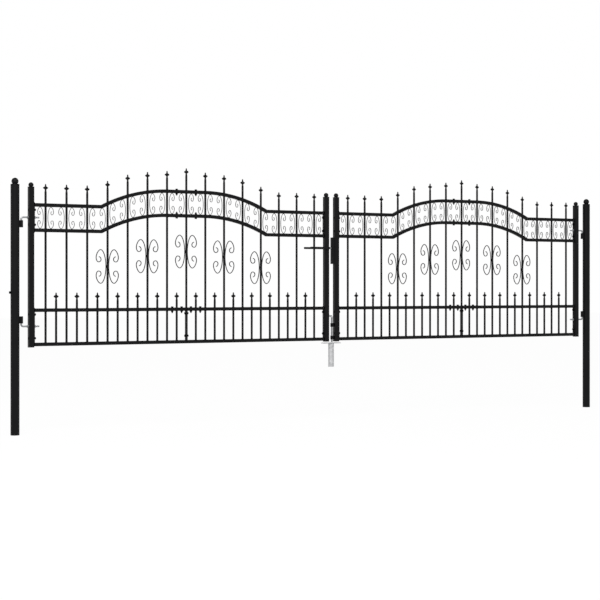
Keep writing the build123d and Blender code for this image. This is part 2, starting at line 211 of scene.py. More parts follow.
def rounded_rect(width, depth, radius, steps=3):
    """The outline of a rectangle with round corners: each corner is a quarter circle with one point more on
    the flat at either end, which keeps the flats flat to the eye."""
    angle = np.linspace(0, pi / 2, steps + 1)
    quarter = radius * np.stack([np.cos(angle), np.sin(angle)], -1)
    flat = radius / 4
    quarter = np.concatenate([[quarter[0] - (0, flat)], quarter, [quarter[-1] - (flat, 0)]])
    turns = [quarter, quarter[:, ::-1] * (-1, 1), -quarter, quarter[:, ::-1] * (1, -1)]
    signs = [(1, 1), (-1, 1), (-1, -1), (1, -1)]
    middle = np.array([width / 2 - radius, depth / 2 - radius])
    return np.concatenate([turn + middle * sign for turn, sign in zip(turns, signs)])


def stacked(rows):
    """Rings from flat outlines with as many points each, every one laid at its own height."""
    return np.stack([np.column_stack([outline, np.full(len(outline), z)]) for outline, z in rows])


def block(low, high, radius):
    """A box with rounded edges: rounded rectangles stacked in height, drawn in towards both ends."""
    low, high = np.array(low, float), np.array(high, float)
    width, depth, height = high - low
    insets = radius * np.array([1, round_share, 0, 0, 0, 0, round_share, 1])
    rise = radius * np.array([0, round_share, 1, 1 + round_share])
    levels = np.concatenate([rise, height - rise[::-1]]) - height / 2
    rows = []
    for inset, level in zip(insets, levels):
        corner = max(radius - inset, 0.2 * radius)
        rows.append((rounded_rect(width - 2 * inset, depth - 2 * inset, corner), level))
    return skin(stacked(rows) + (low + high) / 2)


def bored(outer, bore, length, edge):
    """The profile of a bored tube, round its wall: up the outside, over the top, down the bore and back."""
    half = length / 2
    outside = [(outer - edge, -half), (outer, edge - half), (outer, half - edge), (outer - edge, half)]
    inside = [(bore + edge, half), (bore, half - edge), (bore, edge - half), (bore + edge, -half)]
    return outside + inside


sleeve_outer = 13
sleeve_bore = 6.2
sleeve_length = 50
sleeve_edge = 1
web_thickness = 16
web_root = 4
web_tip = 1.4 * sleeve_bore
pin_reach = 14
pin_places = {}

sleeve_profile = bored(sleeve_outer, sleeve_bore, sleeve_length, sleeve_edge)
web_half = np.array([0, web_thickness / 2, sleeve_length / 2 - sleeve_edge])
for hand, inward in gate_sides.items():
    low, high = corners(f"{hand}_hinge_sleeves")
    post_x = post_middles[hand][0]
    pin_x = post_x + inward * (post_radius + pin_reach)
    pin_places[hand] = pin_x
    web_low, web_high = sorted([post_x + inward * (post_radius - web_root), pin_x - inward * web_tip])
    surfaces = []
    for z in (low[2] + sleeve_length / 2, high[2] - sleeve_length / 2):
        surfaces.append(skin(turned(sleeve_profile, (pin_x, 0, z)), loop=True))
        surfaces.append(block((web_low, 0, z) - web_half, (web_high, 0, z) + web_half, sleeve_edge))
    make(f"{hand}_welded_sleeves", "posts", black_coat, surfaces, [f"{hand}_hinge_sleeves"])

# Stiles: square steel tubes with rolled corners, one at each end of a leaf, open at the foot.
# A plate with a ball closes each top.

stile_width = 38
stile_half = stile_width / 2
stile_wall = 2
stile_corner = 3.5
stile_cap = 5
stile_cap_edge = 1
stile_ball = 36 / 2
stile_ball_seat = radians(-42)
stile_neck = 11.6
stile_fillet = np.array([(3, -0.5), (2.6, 0), (0.8, 0.3), (0.3, 1)]) + (stile_neck, stile_cap)


def stile_tube(low, high):
    """A rolled square tube: its outer outline from foot to top, then its inner outline back down."""
    bore = stile_width - 2 * stile_wall
    outer = rounded_rect(stile_width, stile_width, stile_corner)
    inner = rounded_rect(bore, bore, stile_corner - stile_wall)
    rings = stacked([(outer, low[2]), (outer, high[2]), (inner, high[2]), (inner, low[2])])
    return skin(rings + (low + high) / 2 * (1, 1, 0), loop=True)


stile_ball_profile = np.concatenate([stile_fillet, ball_profile(stile_ball, stile_ball_seat)])
stile_middles = {}
for hand in gate_sides:
    caps = []
    for kind in ("hinge", "meeting"):
        node = f"{hand}_{kind}_stile"
        low, high = corners(node)
        x = (low[0] + high[0]) / 2
        stile_middles[hand, kind] = x
        make(f"{node}_tube", f"{hand}_leaf", black_coat, [stile_tube(low, high)], [node])
        cap_high = high + (0, 0, stile_cap)
        caps.append(block((low[0], low[1], high[2]), cap_high, stile_cap_edge))
        caps.append(skin(turned(stile_ball_profile, (x, 0, high[2]), columns=40)))
    make(f"{hand}_stile_ball_caps", f"{hand}_leaf", black_coat, caps, [f"{hand}_stile_caps"])
stile_foot = low[2]

# Half panels: square rails, round bars through them and flat end plates, welded up and then coated.
# The two upper rails are bent to an arch; every bar has a small weld bead where it leaves a rail.

rail_size = 25
rail_half = rail_size / 2
rail_corner = 2.5
bar_radius = 8
bar_pitch = 155.6
bars_per_half = 7
bottom_rail_z = stile_foot + 20
middle_rail_z = stile_foot + 261
top_rail_z = stile_foot + 1002
band_rail_z = top_rail_z - 178
arch_half_span = 669
arch_half_level = 150
arch_rise = 128
arch_run = arch_half_span - arch_half_level
arch_radius = (arch_run**2 + arch_rise**2) / (2 * arch_rise)
arch_rows = 44
end_step = 2
spear_height = 46.5
spear_socket = 6.3
spear_shoulder = 12
# How far the spear points' tips stand above the top rail, from the centre bar outwards
spear_rise = 150
spear_rises = spear_rise * np.array([1.17, 1, 0.99, 1.05, 1.1, 1, 1, 1])
short_bar_rise = 124.5
short_bar_top = middle_rail_z + short_bar_rise - spear_height
plate_thickness = 6
plate_overhang = 9
plate_lip = 1
plate_edge = 0.4
seam_edge = 0.8
bead_reach = np.array([0, 0.7, 1.8, 3.6])
bead_swell = np.array([2.4, 1.5, 0.5, 0])


def arch_lift(offset):
    """Height that the arched rails gain at an offset from the leaf's centre: level over the middle, then a
    circle down to the straight ends."""
    run = np.clip(np.abs(offset) - arch_half_level, 0, arch_run)
    return np.sqrt(arch_radius**2 - run**2) - (arch_radius - arch_rise)


def arch_slope(offset):
    """Rise over run of the arch at an offset from the leaf's centre."""
    run = np.clip(np.abs(offset) - arch_half_level, 0, arch_run) * (np.abs(offset) < arch_half_span)
    return -np.sign(offset) * run / np.sqrt(arch_radius**2 - run**2)


def carry(section, path, across=1, swell=0):
    """A section carried along a path in the plane across an axis: at each point its first coordinate lies
    along the path's normal, stretched where the path turns so that the sides stay straight, and its second
    along the axis."""
    steps = np.diff(path, axis=0)
    steps /= np.linalg.norm(steps, axis=1, keepdims=True)
    before = np.concatenate([steps[:1], steps])
    after = np.concatenate([steps, steps[-1:]])
    tangent = before + after
    tangent /= np.linalg.norm(tangent, axis=1, keepdims=True)
    stretch = 1 / np.sum(tangent * after, axis=1)
    normal = np.stack([-tangent[:, 1], tangent[:, 0]], -1) * stretch[:, None]
    section = section * (1 + np.asarray(swell)[..., None])
    section = np.broadcast_to(section, (len(path), *section.shape[-2:]))
    rings = np.zeros(section.shape[:2] + (3,))
    rings[..., [0 if across else 1, 2]] = path[:, None] + section[..., :1] * normal[:, None]
    rings[..., across] = section[..., 1]
    return rings


def uprights(x, foot, top, surfaces, slopes, facing, columns=20):
    """Round bars through rails: straight sides that swell to a bead where they leave each rail surface,
    with the bead tilted to the rail's slope, and that taper at the top to the socket of the spear point."""
    count = len(x)
    top = np.reshape(top, (-1, 1))
    reach = np.where(facing[:, None] > 0, bead_reach, -bead_reach[::-1])
    swell = np.where(facing[:, None] > 0, bead_swell, bead_swell[::-1])
    heights = (surfaces[:, :, None] + reach).reshape(count, -1)
    tilts = np.repeat(slopes, len(bead_reach), axis=1)
    radii = np.broadcast_to(bar_radius + swell.ravel(), heights.shape)
    one = np.ones((count, 1))
    heights = np.concatenate([foot * one, heights, (top - spear_shoulder) * one, top * one], 1)[..., None]
    tilts = np.concatenate([0 * one, tilts, 0 * one, 0 * one], 1)[..., None]
    radii = np.concatenate([bar_radius * one, radii, bar_radius * one, spear_socket * one], 1)[..., None]
    angle = np.linspace(0, 2 * pi, columns, endpoint=False)
    across = radii * np.cos(angle)
    return np.stack([x[:, None, None] + across, radii * np.sin(angle), heights + tilts * across], -1)


def rail_faces(offset, rails):
    """Heights and slopes of the faces that bars cross, and whether each faces up or down, for rails given
    as (height, arched, crossed below, crossed above)."""
    heights, slopes, facing = [], [], []
    for z, arched, below, above in rails:
        slope = arch_slope(offset) if arched else 0 * offset
        lift = arch_lift(offset) if arched else 0 * offset
        half = rail_half * np.sqrt(1 + slope**2)
        for side in [-1] * below + [1] * above:
            heights.append(z + lift + side * half)
            slopes.append(slope)
            facing.append(side)
    return np.stack(heights, 1), np.stack(slopes, 1), np.array(facing)


def end_plate(seat_x, outward, low_z, high_z):
    """A flat plate on a seat: rounded rectangles stacked in height, as thick as the plate and thinning to a
    lip over the weld at either end."""
    low_z, high_z = low_z - plate_overhang, high_z + plate_overhang
    slant = plate_overhang - plate_lip
    levels = [(low_z, plate_lip), (low_z + slant, plate_thickness),
              (high_z - slant, plate_thickness), (high_z, plate_lip)]
    rows = []
    for z, thickness in levels:
        rows.append((rounded_rect(thickness, rail_size, plate_edge) + (outward * thickness / 2, 0), z))
    return skin(stacked(rows) + (seat_x, 0, 0))


arched_rails = [(band_rail_z, 1, 1, 1), (top_rail_z, 1, 1, 1)]
short_rails = [(bottom_rail_z, 0, 0, 1), (middle_rail_z, 0, 1, 1)]
centre_rails = [(middle_rail_z, 0, 0, 1)]
rail_section = rounded_rect(rail_size, rail_size, rail_corner)
leaf_middles = {hand: (stile_middles[hand, "hinge"] + stile_middles[hand, "meeting"]) / 2
                for hand in gate_sides}
panel_end = abs(stile_middles["left", "hinge"] - leaf_middles["left"]) - stile_half
arch_offsets = np.concatenate([[0, end_step],
                               np.linspace(arch_half_level, arch_half_span - end_step, arch_rows),
                               [arch_half_span, arch_half_span + end_step, panel_end]])
straight_offsets = np.array([0, end_step, panel_end - end_step, panel_end])

for hand, inward in gate_sides.items():
    middle = leaf_middles[hand]
    for kind, side in (("hinge", -inward), ("meeting", inward)):
        paths = []
        for z in (bottom_rail_z, middle_rail_z):
            paths.append(np.column_stack([side * straight_offsets, np.full(len(straight_offsets), z)]))
        for z in (band_rail_z, top_rail_z):
            paths.append(np.column_stack([side * arch_offsets, z + arch_lift(arch_offsets)]))
        surfaces = [skin(carry(rail_section, path) + (middle, 0, 0)) for path in paths]
        seat_x = middle + side * panel_end
        surfaces.append(end_plate(seat_x, -side, band_rail_z - rail_half, top_rail_z + rail_half))
        surfaces.append(end_plate(seat_x, -side, bottom_rail_z, middle_rail_z + rail_half))
        seam_low, seam_high = sorted([middle, middle + side * plate_thickness])
        surfaces.append(block((seam_low, -rail_half, bottom_rail_z), (seam_high, rail_half, middle_rail_z),
                              seam_edge))
        offset = side * bar_pitch * np.arange(1, bars_per_half + 1)
        top = top_rail_z + arch_lift(offset) + spear_rises[1:] - spear_height
        faces = rail_faces(offset, short_rails + arched_rails)
        surfaces.append(skin(uprights(middle + offset, bottom_rail_z, top, *faces)))
        offset = offset - side * bar_pitch / 2
        faces = rail_faces(offset, short_rails)
        surfaces.append(skin(uprights(middle + offset, bottom_rail_z, short_bar_top, *faces)))
        make(f"{hand}_{kind}_side_rails_and_bars", f"{hand}_leaf", black_coat, surfaces,
             [f"{hand}_{kind}_side_panel"])
    centre = np.zeros(1)
    centre_top = top_rail_z + arch_rise + spear_rises[0] - spear_height
    faces = rail_faces(centre, centre_rails + arched_rails)
    bar = uprights(centre + middle, middle_rail_z - rail_half, centre_top, *faces)
    make(f"{hand}_centre_round_bar", f"{hand}_leaf", black_coat, [skin(bar)], [f"{hand}_centre_bar"])

# Spear points: cast points with a round socket, two short barbs and a blunt tip.
# One is pressed onto the end of every bar and short bar, then coated with the leaf.

spear_taper = 1.4
spear_nose = 8
barb_height = 18.4
barb_reach = 13
barb_spread = 7.8
bar_numbers = np.arange(-bars_per_half, bars_per_half + 1)


def spear_point(rows=28, columns=20):
    """A point as a function of height and angle: a round core that tapers evenly and is rounded off by an
    ellipse at its nose, to just short of the pole; each barb is a bell with the cube of the height in its
    power, which adds to the half width alone, so sections are ellipses."""
    height = np.linspace(0, spear_height, rows)
    nose = np.clip((height - (spear_height - spear_nose)) / spear_nose, 0, 0.998)
    core = (spear_socket - spear_taper * height / spear_height) * np.sqrt(1 - nose**2)
    width = core + barb_reach * np.exp(-np.abs((height - barb_height) / barb_spread) ** 3)
    angle = np.linspace(0, 2 * pi, columns, endpoint=False)
    across = width[:, None] * np.cos(angle)
    depth = core[:, None] * np.sin(angle)
    return np.stack(np.broadcast_arrays(across, depth, height[:, None]), -1)


for hand in gate_sides:
    offset = bar_numbers * bar_pitch
    tops = top_rail_z + arch_lift(offset) + spear_rises[np.abs(bar_numbers)] - spear_height
    short = (np.arange(-bars_per_half, bars_per_half) + 0.5) * bar_pitch
    x = leaf_middles[hand] + np.concatenate([offset, short])
    places = np.stack([x, 0 * x, np.concatenate([tops, np.full(len(short), short_bar_top)])], -1)
    make(f"{hand}_cast_spear_points", f"{hand}_leaf", black_coat,
         [skin(spear_point() + places[:, None, None])], [f"{hand}_spear_points"])

# C-scrolls: steel strip bent to a C with curled ends, in pairs back to back on every second bar.
# They lie a little behind the bar's middle, and a small saddle behind the bar holds both backs to it.

scroll_half_height = 121.5
scroll_shares = np.array([(0.34, 1), (0.276, 0.465), (0.158, 0.264), (0.151, 0.141), (0.136, 0.166)])
scroll_quarters = scroll_half_height * scroll_shares
scroll_strip = 5.5
scroll_depth = 6
scroll_edge = 1.2
scroll_set_back = 5.5
scroll_bars = np.array([-4, -2, 0, 2, 4])
scroll_drops = np.array([251.5, 174, 136.5, 174, 251.5])
shoulder_power = 1.19
saddle_low = np.array([-9.5, 7.5, -10])
saddle_high = np.array([9.5, 15, 10])
saddle_edge = 2


def scroll_path(quarters, start, steps=14):
    """The middle line of a C-scroll: from the bar outwards each half runs through five quarter ellipses,
    every one starting where the last one ended and turning the same way. The second is leaner: its cosine
    and sine are raised to a power. The lower half mirrors the upper."""
    point = np.array([start, 0.0])
    half = [point[None]]
    for quarter, (width, height) in enumerate(quarters):
        begin = pi - pi / 2 * quarter
        angle = begin - pi / 2 * np.linspace(0, 1, steps + 1)[1:]
        centre = point - (width * cos(begin), height * sin(begin))
        turn = np.stack([np.cos(angle), np.sin(angle)], -1)
        power = shoulder_power if quarter == 1 else 1
        half.append(centre + np.sign(turn) * np.abs(turn) ** power * (width, height))
        point = half[-1][-1]
    upper = np.concatenate(half)
    return np.concatenate([upper[:0:-1] * (1, -1), upper])


scroll_line = scroll_path(scroll_quarters, bar_radius + scroll_strip / 2)
scroll_section = rounded_rect(scroll_strip, scroll_depth, scroll_edge)
scroll_rings = carry(scroll_section, scroll_line) + (0, scroll_set_back, 0)
for hand in gate_sides:
    x = leaf_middles[hand] + scroll_bars * bar_pitch
    places = np.stack([x, 0 * x, band_rail_z - scroll_drops], -1)
    surfaces = [skin(scroll_rings * (side, 1, 1) + places[:, None, None]) for side in (1, -1)]
    surfaces += [block(saddle_low + place, saddle_high + place, saddle_edge) for place in places]
    make(f"{hand}_bent_c_scrolls", f"{hand}_leaf", black_coat, surfaces, [f"{hand}_leaf_scrolls"])

# Band scrolls: the same bend in thinner strip, one on each side of every bar between the two arched rails.
# Each is welded to the rails at its crown and its foot, a finger's width from the bar.

band_quarters = np.array([(23.5, 75), (18.2, 32), (10, 22.5), (9.6, 12), (7, 12)])
band_strip = 3.2
band_depth = 5
band_edge = 0.8
band_back = 17
band_middle = band_back + band_quarters[0, 0]
band_z = (band_rail_z + top_rail_z) / 2

band_line = scroll_path(band_quarters, band_back, steps=10)
band_rings = carry(rounded_rect(band_strip, band_depth, band_edge), band_line)
for hand in gate_sides:
    offset = bar_numbers * bar_pitch
    x = leaf_middles[hand] + offset
    surfaces = []
    for side in (1, -1):
        places = np.stack([x, 0 * x, band_z + arch_lift(offset + side * band_middle)], -1)
        surfaces.append(skin(band_rings * (side, 1, 1) + places[:, None, None]))
    make(f"{hand}_band_scrolls", f"{hand}_leaf", black_coat, surfaces)

# Bolts: hexagon screws with washers and nuts that join the half panels, and bolts with low round heads
# through the stiles. They are steel blackened in a salt bath, put in after the coating.


def black_oxide():
    """Steel blackened in a hot salt bath and oiled: blacker than the coat and mat, mottled over a few
    millimetres."""
    mottle_size = 4 * MM
    material, tree, shader, coordinates = bare_material("black_oxide_steel")
    mottle = add_node(tree, "ShaderNodeTexNoise",
                      {"Vector": coordinates, "Scale": 1 / mottle_size, "Detail": 3.0, "Roughness": 0.6})
    vary(tree, shader, mottle.outputs["Fac"], ("#020203", "#080809"), mottle.outputs["Fac"], (0.5, 0.65))
    shader.inputs["Specular IOR Level"].default_value = 0.04
    return material


blackened = ("black_powder_coat", black_oxide())
bolt_flats = 17
bolt_head = 6.4
bolt_radius = 5
bolt_chamfer = 0.8
washer_radius = 10
washer_thickness = 2
washer_rim = 0.5
washer_chamfer = 0.4
washer_columns = 24
stub_columns = 16
stile_bolt_stub = 3
rail_bolt_stub = 8
round_head_radius = 9.5
round_head = 2.5
round_head_rim = 0.4


def hexagon(flats, height, sign):
    """Profile of a hexagon head from its seat outwards: a washer face, six flats and a chamfered top."""
    corner = flats / 2 / cos(pi / 6)
    washer_face, top_face = 0.95 * flats / 2, 0.92 * flats / 2
    foot, chamfer = 0.3, 0.9
    return [(washer_face, 0), (corner, foot * sign), (corner, (height - chamfer) * sign),
            (top_face, height * sign)]


def bolt_end(place, axis, sign, stub):
    """A washer and a hexagon on a face, seen from outside it; out of a nut stands a stub, the bolt's
    end."""
    seat = np.array(place, float)
    top = seat.copy()
    top[axis] += sign * washer_thickness
    washer = [(washer_radius, 0), (washer_radius, sign * (washer_thickness - washer_chamfer)),
              (washer_radius - washer_rim, sign * washer_thickness)]
    parts = [skin(turned(washer, seat, axis, washer_columns)),
             skin(turned(hexagon(bolt_flats, bolt_head, sign), top, axis, 6))]
    if stub:
        length = bolt_head + stub
        end = [(bolt_radius, 0), (bolt_radius, sign * (length - bolt_chamfer)),
               (bolt_radius - bolt_chamfer, sign * length)]
        parts.append(skin(turned(end, top, axis, stub_columns)))
    return parts


def round_head_end(place, sign):
    """A low round bolt head on a face across the gate's length: over its rim the height falls from the
    middle to the edge as the cosine of the angle whose sine is the share of the radius."""
    angle = np.linspace(pi / 2, 0.03, 8)
    rise = round_head * (round_head_rim + (1 - round_head_rim) * np.cos(angle))
    dome = np.stack([round_head_radius * np.sin(angle), sign * rise], -1)
    return skin(turned(np.concatenate([[(round_head_radius, 0)], dome]), place, 0, washer_columns))


stile_bolt_heights = (1578, 1473, 842, 675)
seam_bolt_heights = (842, 675)
arch_bolt_offset = bar_pitch / 2
middle_bolt_offsets = (38, 114)

for hand, inward in gate_sides.items():
    middle = leaf_middles[hand]
    surfaces = []
    for kind, outward in (("hinge", -inward), ("meeting", inward)):
        x = stile_middles[hand, kind]
        nut_seat = x - outward * (stile_half + plate_thickness)
        for z in stile_bolt_heights:
            surfaces.append(round_head_end((x + outward * stile_half, 0, z), outward))
            surfaces += bolt_end((nut_seat, 0, z), 0, -outward, stile_bolt_stub)
    for z in seam_bolt_heights:
        surfaces += bolt_end((middle - plate_thickness, 0, z), 0, -1, 0)
        surfaces += bolt_end((middle + plate_thickness, 0, z), 0, 1, stile_bolt_stub)
    for side in (-1, 1):
        x = middle + side * arch_bolt_offset
        lift = arch_lift(arch_bolt_offset)
        rail_bolts = [(x, band_rail_z + lift, -1), (x, top_rail_z + lift, 1)]
        rail_bolts += [(middle + side * offset, middle_rail_z, 1) for offset in middle_bolt_offsets]
        for x, z, head_side in rail_bolts:
            surfaces += bolt_end((x, 0, z + head_side * rail_half), 2, head_side, 0)
            surfaces += bolt_end((x, 0, z - head_side * rail_half), 2, -head_side, rail_bolt_stub)
    make(f"{hand}_leaf_bolts", f"{hand}_leaf", blackened, surfaces)

post_bolt_height = 997
post_bolt_flats = 17
post_bolt_head = 8
post_washer_radius = 10.5
post_washer_chamfer = 1
post_washer_root = 3
post_washer_rise = 2
post_washer_standoff = 0.5
post_face = post_middles["left"][0] - post_radius - post_washer_standoff
post_washer = [(post_washer_radius, post_washer_root), (post_washer_radius, 0),
               (post_washer_radius - post_washer_chamfer, -post_washer_rise)]
post_hexagon = hexagon(post_bolt_flats, post_bolt_head, -1)
make("left_post_bolt", "posts", blackened,
     [skin(turned(post_washer, (post_face, 0, post_bolt_height), 0, washer_columns)),
      skin(turned(post_hexagon, (post_face - post_washer_rise, 0, post_bolt_height), 0, 6))])

# Hinge rods: zinc-plated round rods, bent to a right angle, with a thread and two nuts that clamp the
# hinge stile. Their pins turn in the sleeves of the posts.


def zinc_plate():
    """Bright zinc on rolled steel, plated in a barrel: grey and half mat, with soft clouds of darker and
    lighter zinc a few millimetres across and fine rolling marks, drawn wider than they are, so that they
    show."""
    cloud_size = 12 * MM
    mark_size = 2 * MM
    mark_height = 0.1 * MM
    material, tree, shader, coordinates = bare_material("bright_zinc_plated_steel")
    cloud = add_node(tree, "ShaderNodeTexNoise",
                     {"Vector": coordinates, "Scale": 1 / cloud_size, "Detail": 5.0, "Roughness": 0.65})
    vary(tree, shader, cloud.outputs["Fac"], ("#7d7f82", "#b1b2b3"), cloud.outputs["Fac"], (0.3, 0.5))
    marks = add_node(tree, "ShaderNodeTexNoise",
                     {"Vector": coordinates, "Scale": 1 / mark_size, "Detail": 2.0})
    bump = add_node(tree, "ShaderNodeBump",
                    {"Height": marks.outputs["Fac"], "Strength": 0.2, "Distance": mark_height})
    tree.links.new(bump.outputs["Normal"], shader.inputs["Normal"])
    shader.inputs["Metallic"].default_value = 1.0
    return material


zinc = ("zinc_plated_steel", zinc_plate())
rod_radius = 6
rod_bend = 14
rod_tail = 60
rod_end_taper = 0.15
rod_nut_flats = 19
rod_nut = 10
rod_columns = 24
thread_pitch = 1.75
thread_length = 30
thread_rows = 110
thread_depth_share = 0.1
rod_heights = (stile_foot + 913, stile_foot + 148)
pin_length = 71


def circle(radius):
    """Points of a circle at even angles."""
    angle = np.linspace(0, 2 * pi, rod_columns, endpoint=False)
    return radius * np.stack([np.cos(angle), np.sin(angle)], -1)


def hinge_rod(tail_x, pin_x, z, turn):
    """A round rod: a threaded run from its tail, a quarter bend and a pin. On the thread the radius falls
    and rises with the turn angle plus the way along the rod, one wave a pitch."""
    away = np.sign(pin_x - tail_x)
    run_end = pin_x - away * rod_bend
    run_x = np.append(tail_x + away * np.linspace(0, thread_length, thread_rows), run_end - away)
    run = np.column_stack([run_x, np.full(len(run_x), z)])
    bend = pi / 2 * np.linspace(0, 1, 14)
    bend_x = run_end + away * rod_bend * np.sin(bend)
    bend_z = z + turn * rod_bend * (1 - np.cos(bend))
    pin = [(pin_x, z + turn * way) for way in (rod_bend + 1, pin_length - 1, pin_length)]
    path = np.concatenate([run, np.stack([bend_x, bend_z], -1), pin])
    along = np.abs(path[:, :1] - tail_x)
    turn_share = np.linspace(0, 1, rod_columns, endpoint=False)
    wave = np.abs(2 * ((along / thread_pitch + turn_share) % 1) - 1)
    fade = np.clip((thread_length - along) / thread_pitch, 0, 1) * (path[:, 1:] == z)
    swell = -thread_depth_share * wave * fade
    swell[[0, -1]] = -rod_end_taper
    return skin(carry(circle(rod_radius), path, swell=swell))


for hand, inward in gate_sides.items():
    stile_x = stile_middles[hand, "hinge"]
    nut_faces = [(stile_x - inward * stile_half, -inward),
                 (stile_x + inward * (stile_half + plate_thickness), inward)]
    surfaces = []
    for z, turn in zip(rod_heights, (-1, 1)):
        surfaces.append(hinge_rod(stile_x + inward * rod_tail, pin_places[hand], z, turn))
        for x, sign in nut_faces:
            surfaces.append(skin(turned(hexagon(rod_nut_flats, rod_nut, sign), (x, 0, z), 0, 6)))
    make(f"{hand}_bent_hinge_rods", f"{hand}_leaf", zinc, surfaces, [f"{hand}_hinge_rods"])

# Lock: two black levers on one spindle through the left meeting stile, with a round rose under each.
# A zinc-plated face plate is screwed to the stile's gap face; the latch shows through it.

lock_x = stile_middles["left", "meeting"]
lever_z = corners("lock_spindle")[:, 2].mean()
rose_radius = 16
rose_thickness = 5
lever_reach = 169
lever_half_height = 8
lever_half_depth = 7
lever_standoff = 51
lever_neck = 7.5
lever_nose = 6
neck_flare = 0.6
neck_foot = 1.5
neck_clearance = 0.3


def lever_bar(columns=24):
    """A straight bar with a rounded rectangular section that narrows to a round end: along its length both
    half sizes follow a quarter ellipse over the last stretch at either end."""
    heel = -lever_neck * np.cos(np.linspace(0.1, pi / 2, 8))
    straight = np.linspace(4, lever_reach - lever_nose - 2, 12)
    tip = lever_reach - lever_nose * (1 - np.sin(np.linspace(0.1, pi / 2 * 0.97, 8)))
    along = np.concatenate([heel, straight, tip])
    near = np.clip((along + lever_neck) / lever_neck, 0, 1)
    far = np.clip((lever_reach - along) / lever_nose, 0, 1)
    size = (np.sqrt(1 - (1 - near) ** 2) * np.sqrt(1 - (1 - far) ** 2))[:, None]
    angle = np.linspace(0, 2 * pi, columns, endpoint=False)
    square = (np.abs(np.cos(angle)) ** 4 + np.abs(np.sin(angle)) ** 4) ** -0.25
    height = lever_half_height * square * np.sin(angle)
    depth = lever_half_depth * square * np.cos(angle)
    return np.stack(np.broadcast_arrays(-along[:, None], size * depth, size * height), -1)


rose_profile = np.array([(rose_radius, 0), (rose_radius, rose_thickness / 2),
                         (rose_radius - 0.6, rose_thickness - 1), (rose_radius - 2.5, rose_thickness),
                         (lever_neck + 1, rose_thickness)])
neck_length = lever_standoff - stile_half - rose_thickness
# The neck starts a hair above the rose, which it turns on
neck_profile = np.array([(lever_neck + neck_flare, neck_clearance), (lever_neck, neck_foot),
                         (lever_neck, neck_length)])
roses = []
for name, side in (("front", -1), ("back", 1)):
    rose_seat = np.array([lock_x, side * stile_half, lever_z])
    roses.append(skin(turned(rose_profile * (1, side), rose_seat, 1)))
    neck = turned(neck_profile * (1, side), rose_seat + (0, side * rose_thickness, 0), 1)
    bar = lever_bar() + (lock_x, side * lever_standoff, lever_z)
    make(f"{name}_lever_handle", "lever_handles", black_coat, [skin(neck), skin(bar)], [f"{name}_lever"])
make("round_lever_roses", "left_leaf", black_coat, roses, ["lever_roses"])

low, high = corners("lock_face_plate")
face_middle = (low + high) / 2
face_size = (high - low)[1:]
face_corner = 5.5
face_outline = rounded_rect(*face_size, face_corner, steps=6)
# Places along the gate and how far the outline is drawn in there: a flat plate with a rounded front edge
face_rows = [(low[0], 0), (high[0] - 0.6, 0), (high[0] - 0.2, 0.25), (high[0], 0.8)]
rings = []
for x, inset in face_rows:
    outline = face_outline * (1 - 2 * inset / face_size) + face_middle[1:]
    rings.append(np.column_stack([np.full(len(outline), x), outline]))
screw_inset = 12
screw_profile = [(4.2, -0.5), (4.2, 0.4), (3.6, 1.1), (2, 1.6), (0.4, 1.7)]
surfaces = [skin(rings)]
for z in (low[2] + screw_inset, high[2] - screw_inset):
    surfaces.append(skin(turned(screw_profile, (high[0], 0, z), 0, washer_columns)))
make("screwed_face_plate", "left_leaf", zinc, surfaces, ["lock_face_plate"])
for node in ("latch", "lock_spindle"):
    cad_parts[node].data.materials.clear()
    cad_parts[node].data.materials.append(zinc[1])

# Keep: a box folded from steel sheet on the gap face of the right meeting stile, with a slot that takes
# the latch. It is coated black with the leaf.

low, high = corners("lock_keep")
front, back = low[0], high[0]
keep_wall = 3
keep_corner = 2
keep_inner_corner = 1
keep_width, keep_length = (high - low)[1:]
slot_width = 18
slot_height = 36
slot_corner = 2
box_middle = np.array([0, (low[2] + high[2]) / 2])
outer = rounded_rect(keep_width, keep_length, keep_corner)
inner = rounded_rect(keep_width - 2 * keep_wall, keep_length - 2 * keep_wall, keep_inner_corner)
inner = inner + box_middle
slot_edge = rounded_rect(slot_width, slot_height, slot_corner) + (0, lever_z)
# From the slot over the front face and its folded edge to the back, then inside to the slot again
keep_rows = [(slot_edge, front), (outer * 0.94 + box_middle, front),
             (outer * (0.985, 0.998) + box_middle, front + 0.4), (outer + box_middle, front + 1.5),
             (outer + box_middle, back), (inner, back),
             (inner, front + keep_wall), (slot_edge, front + keep_wall)]
rings = np.stack([np.column_stack([np.full(len(outline), x), outline]) for outline, x in keep_rows])
make("folded_keep", "right_leaf", black_coat, [skin(rings, loop=True)], ["lock_keep"])

# Drop bolt: a zinc-plated steel rod with its top bent to the back as a handle.
# It slides in two black guides, short tubes on webs that are welded to the right meeting stile.

low, high = corners("drop_bolt")
drop_radius = (high[0] - low[0]) / 2
drop_x = (low[0] + high[0]) / 2
drop_bend = 16
drop_chamfer = 1.5
drop_end_taper = 0.2
drop_top = high[2] - drop_radius
bend = pi / 2 * np.linspace(0, 1, 16)
bend_line = np.stack([drop_bend * (1 - np.cos(bend)), drop_top - drop_bend + drop_bend * np.sin(bend)], -1)
drop_path = np.concatenate([
    [(0, low[2]), (0, low[2] + drop_chamfer), (0, drop_top - drop_bend - 1)], bend_line,
    [(drop_bend + 1, drop_top), (high[1] - drop_chamfer, drop_top), (high[1], drop_top)],
])
swell = np.zeros((len(drop_path), rod_columns))
swell[[0, -1]] = -drop_end_taper
rings = carry(circle(drop_radius), drop_path, across=0, swell=swell) + (drop_x, 0, 0)
make("bent_drop_bolt", "drop_bolt", zinc, [skin(rings)], ["drop_bolt"])

